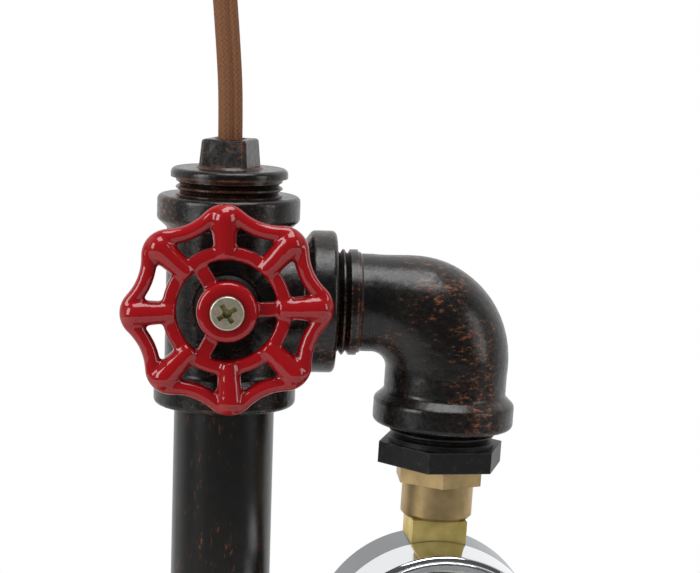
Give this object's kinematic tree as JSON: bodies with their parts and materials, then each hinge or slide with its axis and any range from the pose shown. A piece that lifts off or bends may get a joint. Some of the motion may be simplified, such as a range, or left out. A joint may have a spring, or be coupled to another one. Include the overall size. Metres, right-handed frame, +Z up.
{
  "type": "industrial pipe table lamp",
  "caption": "Table lamp of dark pipe fittings with a handwheel dimmer, a hanging pressure gauge, a bare bulb on an elbow and a textile cord out of its top plug.",
  "frame": {"origin": "centre of the underside, on the column's axis", "axes": "+Z up the column, +X towards the gauge, -Y is the front, where the handwheel faces"},
  "size_m": [0.2062, 0.2968, 0.5513],
  "materials": {
    "pad_rubber": "matt moulded sheet",
    "cast_base": "dark bronze paint over casting",
    "bronze_fitting": "oil-rubbed bronze, copper showing at rubbed edges",
    "bronze_tube": "satin oil-rubbed bronze",
    "black_bushing": "flat black",
    "red_enamel": "gloss enamel",
    "zinc_screw": "yellow zinc",
    "steel": "plain",
    "brass": "satin, turned",
    "movement_brass": "stamped",
    "chrome": "polished drawn steel",
    "clear_glass": "flat and clear",
    "seal_rubber": "soft black",
    "white_paint": "matt white",
    "black_paint": "satin black",
    "dimmer_plastic": "moulded",
    "holder_metal": "satin oil-rubbed bronze",
    "porcelain": "glazed",
    "bulb_glass": "thin blown, pale amber",
    "filament": "fine wire",
    "black_insulator": "glass insulator",
    "cord_textile": "two cores in a brown braid",
    "lead_pvc": "bare cores",
    "plug_plastic": "moulded",
    "pin_nickel": "nickel plated"
  },
  "bodies": {
    "root": {"rubber_pad": "pad_rubber", "base_plate": "cast_base", "floor_flange": "bronze_fitting", "flange_screws": "steel", "lower_tube": "bronze_tube", "column_tube": "bronze_tube", "grub_screws": "steel", "upper_tee": "bronze_fitting", "lower_tee": "bronze_fitting", "gauge_elbow": "bronze_fitting", "lamp_elbow": "bronze_fitting", "gauge_bushing": "black_bushing", "lamp_bushing": "black_bushing", "top_plug": "bronze_fitting", "cord_bush": "seal_rubber", "lead_wire": "lead_pvc", "brass_adaptor": "brass", "gauge_stem": "brass", "gauge_case": "chrome", "case_screws": "steel", "gauge_bezel": "chrome", "gauge_glass": "clear_glass", "glass_seal": "seal_rubber", "dial_spacer": "white_paint", "gauge_dial": "white_paint", "movement_frame": "movement_brass", "bourdon_tube": "movement_brass", "dimmer_body": "dimmer_plastic", "dimmer_bush": "steel", "gland_nut": "black_bushing", "lamp_nipple": "steel", "lamp_locknut": "black_bushing", "lampholder_cap": "holder_metal", "lampholder_skirt": "holder_metal", "lampholder_insert": "porcelain", "terminal_screws": "brass", "lamp_screw_shell": "brass", "lamp_contact": "brass", "cord_run": "cord_textile", "cord_coil": "cord_textile", "cord_tail": "cord_textile", "plug_body": "plug_plastic", "plug_pins": "pin_nickel"},
    "handwheel": {"handwheel": "red_enamel", "wheel_screw": "zinc_screw", "spindle": "steel", "wiper": "dimmer_plastic"},
    "sector_gear": {"sector": "movement_brass"},
    "link": {"bourdon_link": "movement_brass"},
    "needle": {"pinion": "steel", "pointer": "black_paint"},
    "bulb": {"bulb_cap": "brass", "bulb_cap_insulator": "black_insulator", "bulb_contact": "steel", "bulb_glass": "bulb_glass", "bulb_stem": "bulb_glass", "bulb_filament": "filament"}
  },
  "joints": [
    {"name": "handwheel_turn", "type": "hinge", "parent": "root", "child": "handwheel", "pos_m": [0, 0, 0.42], "axis": [0, 1, 0], "range_deg": [0, 300]},
    {"name": "sector_swing", "type": "hinge", "parent": "root", "child": "sector_gear", "pos_m": [0.05247, 0, 0.31618], "axis": [0.0802, -0.9968, -0.0028], "range_deg": [0, 27]},
    {"name": "link_swing", "type": "hinge", "parent": "sector_gear", "child": "link", "pos_m": [0.05141, -0.00007, 0.31232], "axis": [0.0802, -0.9968, -0.0028], "range_deg": [-27, 0]},
    {"name": "pointer_turn", "type": "hinge", "parent": "root", "child": "needle", "pos_m": [0.05299, 0, 0.33102], "axis": [0.0802, -0.9968, -0.0028], "range_deg": [-270, 0]},
    {"name": "bulb_lift", "type": "slide", "parent": "root", "child": "bulb", "axis": [0, 0, 1], "range_m": [0, 0.035]}
  ],
  "couplings": [
    {"joint": "link_swing", "follows": "sector_swing", "ratio": -1},
    {"joint": "pointer_turn", "follows": "sector_swing", "ratio": -10}
  ]
}
